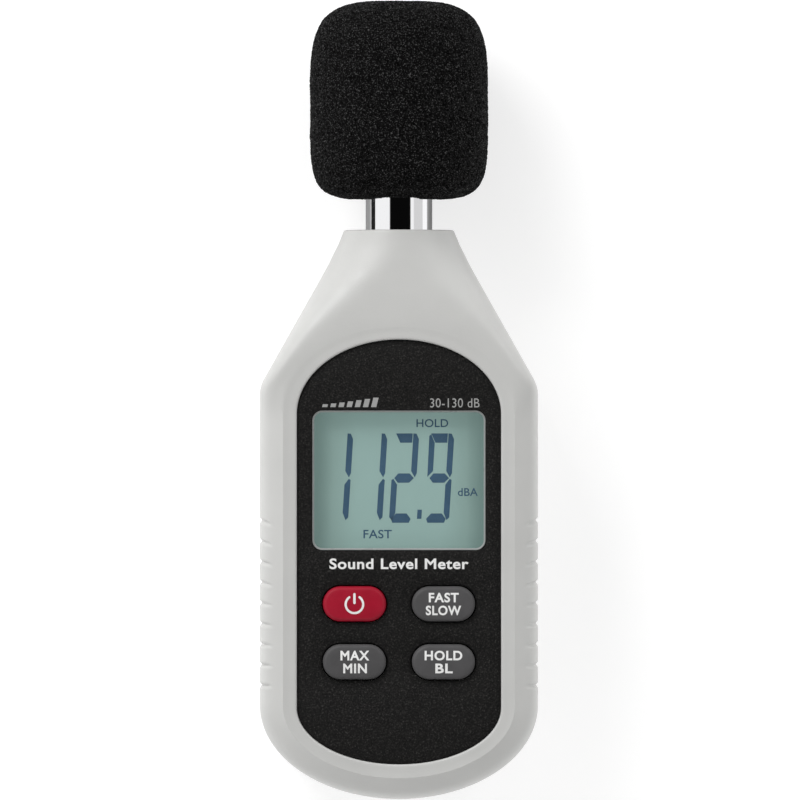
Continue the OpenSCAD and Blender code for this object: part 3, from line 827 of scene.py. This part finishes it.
def key(node):
    """A key from its stem over the skirt that holds it under the panel to its domed face."""
    low, high = box_mm(node)
    cx, cy = key_centre(node)
    top, flange = high[2], lens_high[2] - 0.1
    stem, skirt, chamfer = 4.4, 1.5, 0.15
    length, width = KEY_LENGTH + 2 * KEY_FLANGE, KEY_WIDTH + 2 * KEY_FLANGE
    mesh = bmesh.new()
    steps = [(stem, stem, low[2]), (stem, stem, flange - skirt), (length, width, flange - skirt),
             (length, width, flange - chamfer), (length - 2 * chamfer, width - 2 * chamfer, flange),
             (KEY_LENGTH, KEY_WIDTH, flange)]
    insets = [KEY_FILLET * (1 - math.cos(math.radians(a))) for a in range(0, 91, 10)]
    insets += [KEY_FILLET + (KEY_WIDTH / 2 - 0.05 - KEY_FILLET) * k / 10 for k in range(1, 11)]
    steps += [(KEY_LENGTH - 2 * i, KEY_WIDTH - 2 * i, key_height(top, i)) for i in insets]
    strip(mesh, [at_z(pill(cx, cy, x_size, y_size), z) for x_size, y_size, z in steps], True, True)
    colour = "red" if node == "button_power" else "grey"
    add_piece(node.replace("button", "key"), mesh, KEYS[node], colour, (node,))


def key_surface(node):
    """Height of a key's face, as a function of the place in plan."""
    cx, cy = key_centre(node)
    top = box_mm(node)[1][2]

    def height(x, y):
        return key_height(top, key_inset(cx, cy, x, y))

    return height


def key_labels():
    """Two lines of words on each grey key: words, width and shift to the right."""
    labels = {
        "button_response": (("FAST", 5.689, 0.06), ("SLOW", 6.705, 0.0)),
        "button_max_min": (("MAX", 5.49, 0.1), ("MIN", 4.5, 0.12)),
        "button_hold": (("HOLD", 7.155, 0.0), ("BL", 3.285, 0.1)),
    }
    letter_height, line_offsets = 1.85, (1.2, -1.24)
    for node, lines in labels.items():
        cx, cy = key_centre(node)
        for (words, width, shift), offset in zip(lines, line_offsets):
            lettering(f"{node.replace('button', 'label')}_{words.lower()}", words,
                      (cx + shift, cy + offset), width, letter_height, 0, KEYS[node], "white_ink",
                      weight=0.03, surface=key_surface(node), spacing=1.1)


def power_symbol():
    """Open ring with a bar through its gap."""
    cx, cy = key_centre("button_power")
    surface = key_surface("button_power")
    mesh = bmesh.new()
    outer, inner, gap = 1.87, 1.45, math.radians(36)
    start, end = math.pi / 2 + gap, 5 * math.pi / 2 - gap
    centre_y = cy - 0.08
    arc = ellipse(cx, centre_y, outer, outer, start, end, 40)
    back = ellipse(cx, centre_y, inner, inner, end, start, 40)
    tip = (outer - inner) / 2
    middle = (outer + inner) / 2
    ends = []
    for angle, first in ((end, end), (start, start + math.pi)):
        mx, my = cx + middle * math.cos(angle), centre_y + middle * math.sin(angle)
        ends.append(ellipse(mx, my, tip, tip, first, first + math.pi, 8)[1:-1])
    loop = arc + ends[0] + back + ends[1]
    bar_length, bar_width, bar_y = 2.1, 0.46, centre_y + 1.1
    bar = [(cx - y, bar_y + x) for x, y in pill(0, 0, bar_length, bar_width, 8)]
    for outline in (loop, bar):
        raised(mesh, outline, -0.03, 0.06, surface)
    add_piece("power_symbol", mesh, KEYS["button_power"], "white_ink")


# ---- display
DIGIT_WIDTH, DIGIT_HEIGHT = 4.75, 17.0
UPRIGHT, BAR, SEGMENT_GAP = 1.12, 1.78, 0.13
SLANT = 0.062


def segment_outlines():
    """The seven segments of a figure, a to g, in its upright cell."""
    w, h, u, b, g = DIGIT_WIDTH, DIGIT_HEIGHT, UPRIGHT, BAR, SEGMENT_GAP
    middle = h / 2
    right_high = [(w - u, h), (w - 0.45 * u, h - 0.05), (w, h - 1.1), (w, middle + 0.95),
                  (w - 0.32 * u, middle + g), (w - u, middle + 1.35)]
    right_low = [(w - 0.32 * u, middle - g), (w, middle - 0.35), (w, 1.05), (w - 0.45 * u, 0.5),
                 (w - u, 1.9), (w - u, middle - 1.25)]
    left_high = [(0, h - 0.5), (0.35, h - 0.15), (u, h - b), (u, middle + 1.35), (0.1, middle + 0.2)]
    left_low = [(w - x, y) for x, y in reversed(right_low)]
    top = [(0.2 + g, h), (w - u - g, h), (w - u - g, h - b), (u + g, h - b)]
    centre = [(0.38 + g, middle), (u + 0.1, middle + b / 2), (w - u - 0.25, middle + b / 2),
              (w - 0.38 - g, middle), (w - u - 0.25, middle - b / 2), (u + 0.1, middle - b / 2)]
    bottom = [(0.35, 0.75), (0.65, 0), (w - 0.95, 0), (w - 0.65, 0.75), (w - u - 0.35, b), (u + g, b)]
    return {"a": top, "b": right_high, "c": right_low, "d": bottom, "e": left_low, "f": left_high,
            "g": centre}


def display():
    """The figures 112.9, each given by its lit segments and its left edge, and three words."""
    low = lcd_high[2]
    figure_y = window_y - 8.1
    shown = [("bc", -14.45), ("bc", -7.95), ("abged", -1.93), ("abcdfg", 4.75)]
    segments = segment_outlines()
    mesh = bmesh.new()
    for letters, x0 in shown:
        for letter in letters:
            loop = [(x0 + x + SLANT * y, figure_y + y) for x, y in segments[letter]]
            raised(mesh, loop, low - 0.01, 0.03)
    point_x = 3.42
    point = [(point_x, figure_y + 0.75), (point_x + 0.85, figure_y + 0.75),
             (point_x + 0.95, figure_y + 2.5), (point_x + 0.1, figure_y + 2.5)]
    raised(mesh, point, low - 0.01, 0.03)
    add_piece("lcd_figures", mesh, "case", "lcd_ink")
    for words, x, y, width, height in (("HOLD", 6.35, window_y + 10.85, 6.05, 1.55),
                                       ("FAST", -4.05, window_y - 10.25, 5.4, 1.65),
                                       ("dBA", 13.1, window_y - 2.25, 3.8, 1.5)):
        lettering("lcd_" + words.lower(), words, (x, y), width, height, low, "case", "lcd_ink",
                  weight=0.012, spacing=1.03, thickness=0.012)


# ---- microphone
def mic_barrel():
    """Chromed tube with a bevelled end and a fine witness groove below the grid."""
    tip, inner = barrel_high[1], barrel_radius - 1.1
    profile = [(barrel_radius, barrel_low[1]), (barrel_radius, tip - 3.4),
               (barrel_radius - 0.18, tip - 3.2), (barrel_radius - 0.18, tip - 2.9),
               (barrel_radius, tip - 2.7), (barrel_radius, tip - 0.2),
               (barrel_radius - 0.15, tip), (inner, tip), (inner, barrel_low[1]),
               (barrel_radius, barrel_low[1])]
    mesh = bmesh.new()
    lathe(mesh, profile, (0, 0, (barrel_low[2] + barrel_high[2]) / 2), "Y", 160)
    add_piece("barrel_tube", mesh, "case", "chrome", ("mic_barrel",))


def foam_half_width(y):
    """Outline of the foam: rounder towards its tip, squarer at its foot."""
    middle = (foam_low[1] + foam_high[1]) / 2
    t = min(1, abs(y - middle) / ((foam_high[1] - foam_low[1]) / 2))
    n = 3.8 if y > middle else 5.5
    return (foam_radius - FOAM_PILE) * max(0, 1 - t ** n) ** (1 / n)


def evenly_spaced(points, count):
    """The same curve with count points at even distances along it."""
    along = [0]
    for a, b in zip(points, points[1:]):
        along.append(along[-1] + math.dist(a, b))
    spread, k = [], 0
    for step in range(count):
        target = along[-1] * step / (count - 1)
        while k < len(points) - 2 and along[k + 1] < target:
            k += 1
        share = (target - along[k]) / (along[k + 1] - along[k])
        spread.append([a + (b - a) * share for a, b in zip(points[k], points[k + 1])])
    return spread


def windscreen():
    """Open-cell foam: a turned form whose skin is pitted by its cells, with a blind bore."""
    segments, rows, fine = 360, 256, 3000
    axis, bore = (foam_low[2] + foam_high[2]) / 2, barrel_radius + 0.12
    middle, half = (foam_low[1] + foam_high[1]) / 2, (foam_high[1] - foam_low[1]) / 2 - FOAM_PILE
    foot, dish, dish_radius = middle - half, 1.1, 0.54 * foam_radius
    outside = [(bore + (dish_radius - bore) * k / 34, foot + dish * (1 - smooth(0, 34, k)))
               for k in range(35)]
    for k in range(1, fine):
        y = middle - half * math.cos(math.pi * k / fine)
        radius = foam_half_width(y)
        if radius > dish_radius or y > middle:
            outside.append((radius, y))
    outside = evenly_spaced(outside + [(0.01, middle + half)], rows)
    deep = grid_high[1] + 0.3
    mesh = bmesh.new()
    rings = []
    for radius, along in outside:
        ring = []
        for u, v in circle(radius, segments):
            p = Vector((u, along, axis + v))
            out = Vector((u / foam_radius, (along - middle) / half * 0.9, v / foam_radius)).normalized()
            nearest, second = noise.voronoi(p / FOAM_CELL)[0][:2]
            pile = 0.16 - 0.8 * (second - nearest) + 0.12 * noise.noise(p / 2.3)
            near_bore = smooth(bore, bore + 1.2, radius) if along < middle else 1
            if along < middle and p.z > axis:
                near_foot = (1 - smooth(foot, foot + 7, along)) * smooth(bore, foam_radius - 3, radius)
                p.y += FOAM_ARCH * near_foot * math.exp(-((p.x / bore) ** 4))
            ring.append(p + out * max(-0.5, pile) * near_bore)
        rings.append(ring)
    bore_rings = [[(u, y, axis + v) for u, v in circle(bore * s, segments)]
                  for s, y in ((0.02, deep), (0.9, deep), (1, deep - 0.5), (1, foot + dish + 0.3))]
    strip(mesh, bore_rings + rings, cap_start=True, cap_end=True)
    piece = add_piece("foam_windscreen", mesh, "windscreen", "foam", ("windscreen",), 180)


# ---- back of the case
def battery_door():
    """Door with a dished finger grip and three grip ridges; two tongues at its hinge edge."""
    mesh = bmesh.new()
    low_z, high_z = door_low[2], door_low[2] + WALL
    y_high = door_high[1] - DOOR_TONGUE
    cy = (door_low[1] + y_high) / 2
    width, height = 2 * door_high[0], y_high - door_low[1]
    edge = 0.3

    def outline(offset):
        return rounded_rectangle(0, cy, width - 2 * offset, height - 2 * offset,
                                 DOOR_CORNER - offset * 0.5)

    grip_y = door_low[1] + 5.2

    def grip(offset):
        return pill(0, grip_y, 13 - 2 * offset, 6.4 - 2 * offset)

    fill(mesh, [outline(edge), grip(0)], low_z)
    fill(mesh, [outline(0)], high_z)
    sides(mesh, outline, [(0, high_z), (0, low_z + edge), (edge * 0.3, low_z + edge * 0.3), (edge, low_z)])
    dish = [(0, 0), (0.12, 0.06), (0.5, 0.45), (1.0, 0.78), (1.7, 0.98), (2.6, 1.05), (3.15, 1.05)]
    sides(mesh, grip, [(offset, low_z + depth) for offset, depth in dish], cap_end=True)
    for k in (-1, 0, 1):
        ridge_y = grip_y + k * 1.5
        section = [(ridge_y - 0.35, low_z + 1.2), (ridge_y - 0.2, low_z + 0.62),
                   (ridge_y + 0.2, low_z + 0.62), (ridge_y + 0.35, low_z + 1.2)]
        reach = 3.6 - abs(k) * 0.5
        strip(mesh, [[(x, y, z) for y, z in section] for x in (-reach, reach)], True, True)
    arrow_y = grip_y + 6.2
    arrow = [(-2.2, arrow_y), (0, arrow_y - 2.2), (2.2, arrow_y)]
    raised(mesh, arrow, low_z - 0.12, 0.3)
    for side in (-1, 1):
        x = side * 10
        section = [(y_high - 0.6, high_z - 0.2), (door_high[1], high_z - 0.2),
                   (door_high[1], door_high[2] - 0.3), (door_high[1] - 0.3, door_high[2]),
                   (y_high - 0.6, door_high[2])]
        strip(mesh, [[(x + s, y, z) for y, z in section] for s in (-2.5, 2.5)], True, True)
    add_piece("door_cover", mesh, "battery_door", "case", ("battery_door",))


def tripod_insert():
    """Brass insert with a quarter-inch thread of 1.27 mm pitch."""
    centre = ((insert_low[0] + insert_high[0]) / 2, (insert_low[1] + insert_high[1]) / 2, 0)
    low, high, outside = insert_low[2], insert_high[2], insert_high[0] - 0.02
    pitch, root, crest = 1.27, 3.2, 2.62
    profile = [(outside, low + 0.2), (outside, high), (root, high)]
    z = high - 0.3
    while z - pitch > low + 0.5:
        profile += [(root, z), (crest, z - pitch * 0.42), (crest, z - pitch * 0.56)]
        z -= pitch
    profile += [(root, z), (root + 0.45, low), (outside - 0.2, low), (outside, low + 0.2)]
    mesh = bmesh.new()
    lathe(mesh, profile, centre, "Z", 96)
    add_piece("threaded_insert", mesh, "case", "brass", ("tripod_insert",))


# ---- carried-over CAD nodes
def dress_cad_nodes():
    """Materials of the CAD nodes that stay as they are."""
    looks = {
        "window_lens": "lens", "lcd_glass": "lcd", "lcd_frame": "white", "lcd_backlight": "white",
        "zebra_strips": "rubber", "main_pcb": "board", "pcb_chips": "black", "pcb_capacitors": "blue",
        "trim_pot": "blue", "keypad_mat": "rubber", "mic_grid": "chrome", "mic_capsule": "steel",
        "mic_bush": "rubber", "barrel_nut": "brass", "mic_leads": "red_wire",
        "battery_cell_left": "cell", "battery_cell_middle": "cell", "battery_cell_right": "cell",
        "battery_springs": "spring", "battery_contacts": "spring", "case_screws": "steel",
    }
    for node, look in looks.items():
        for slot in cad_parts[node].material_slots:
            slot.material = M[look]


# ---- stage, light and camera
def stage():
    """Pale floor just under the back, with a slight glow of its own."""
    floor_material = Shader("floor", (0.52, 0.52, 0.52), 0.9, Emission_Color=(1, 1, 1, 1),
                            Emission_Strength=0.6)
    floor_material.mottle(400, (0.51, 0.51, 0.51), (0.53, 0.53, 0.53))
    size, z = 6000, -0.2
    corners = [(-size, -size, z), (size, -size, z), (size, size, z), (-size, size, z)]
    stage_quad("floor", corners, floor_material)


def stage_quad(name, corners, look):
    """A flat card or floor that isn't part of the object, from corners in millimetres."""
    data = bpy.data.meshes.new(name)
    data.from_pydata([[c * MM for c in corner] for corner in corners], [], [(0, 1, 2, 3)])
    data.materials.append(look.material)
    made = new_object(name, data)
    return made


def reflection_cards():
    """Cards by the barrel that only its polish picks up: a grey one below, painted shade standing in for
    the shaded floor under the barrel, and a black flag.
    """
    y0, y1 = y_neck + 0.2, foam_low[1] + 1
    top = (barrel_low[2] + barrel_high[2]) / 2 + 4
    cards = {
        # The grey card is painted shade: a sheet seen only in reflections, where the floor under the barrel
        # lies in shade.
        "card_grey": (0.42, [(-48, y0, 0.4), (48, y0, 0.4), (48, y1, 0.4), (-48, y1, 0.4)]),
        "card_black": (0.003, [(-50, y0, 2), (-50, y1, 2), (-50, y1, top), (-50, y0, top)]),
    }
    for name, (grey, corners) in cards.items():
        look = Shader(name, (grey,) * 3, 0.9)
        look.mottle(40, (grey * 0.9,) * 3, (grey,) * 3)
        card = stage_quad(name, corners, look)
        card.visible_camera = False
        card.visible_diffuse = False
        card.visible_shadow = False


def area_light(name, place, aim, size, power):
    data = bpy.data.lights.new(name, "AREA")
    data.shape = "RECTANGLE"
    data.size, data.size_y = size
    data.energy = power
    light = new_object(name, data)
    light.location = place
    light.rotation_mode = "QUATERNION"
    light.rotation_quaternion = (Vector(aim) - Vector(place)).to_track_quat("-Z", "Y")


def lights():
    """A white tent, open to a dark cap overhead and dimmer to the right, and a soft key light."""
    world = bpy.data.worlds.new("studio")
    world.use_nodes = True
    tree = world.node_tree
    background = tree.nodes["Background"]
    direction = tree.nodes.new("ShaderNodeTexCoord").outputs["Generated"]

    def part_of_sky(towards, stops):
        """Grey over the sky by the cosine of the angle to a direction."""
        cosine = tree.nodes.new("ShaderNodeVectorMath")
        cosine.operation = "DOT_PRODUCT"
        cosine.inputs[1].default_value = towards
        tree.links.new(direction, cosine.inputs[0])
        ramp = tree.nodes.new("ShaderNodeValToRGB")
        for element, (position, grey) in zip(ramp.color_ramp.elements, stops):
            element.position = position
            element.color = (grey, grey, grey, 1)
        tree.links.new(cosine.outputs["Value"], ramp.inputs["Fac"])
        return ramp.outputs["Color"]

    tilt = math.radians(4.5)
    cap = part_of_sky((math.sin(tilt), 0, math.cos(tilt)), [(0.79, 1.0), (0.82, 0.003)])
    right = part_of_sky((1, 0, 0), [(0.78, 1.0), (0.82, 0.72)])
    product = tree.nodes.new("ShaderNodeMix")
    product.data_type, product.blend_type = "RGBA", "MULTIPLY"
    product.inputs["Factor"].default_value = 1
    tree.links.new(cap, product.inputs["A"])
    tree.links.new(right, product.inputs["B"])
    tree.links.new(product.outputs["Result"], background.inputs["Color"])
    background.inputs["Strength"].default_value = 1.07
    bpy.context.scene.world = world
    area_light("key", (-0.47, 0.64, 0.52), (0, 0, 0.02), (0.45, 0.45), 4.9)
    area_light("fill", (0.66, 0.46, 0.44), (0, 0, 0.02), (0.3, 0.3), 1.15)
    bpy.context.scene.view_settings.view_transform = "Standard"


def camera():
    """Straight over the display, far enough that the view is nearly square on."""
    data = bpy.data.cameras.new("camera")
    data.sensor_width = 36
    data.lens = 569
    camera_object = new_object("camera", data)
    height, off_centre = 2.4, 0.0002
    camera_object.location = (off_centre, 0, bezel_z * MM + height)
    data.clip_end = 10
    bpy.context.scene.camera = camera_object


front_shell()
window_rim()
rear_shell()
panel_overlay()
panel_print()
for key_node in KEYS:
    key(key_node)
key_labels()
power_symbol()
display()
mic_barrel()
windscreen()
battery_door()
tripod_insert()
dress_cad_nodes()
stage()
reflection_cards()
lights()
camera()
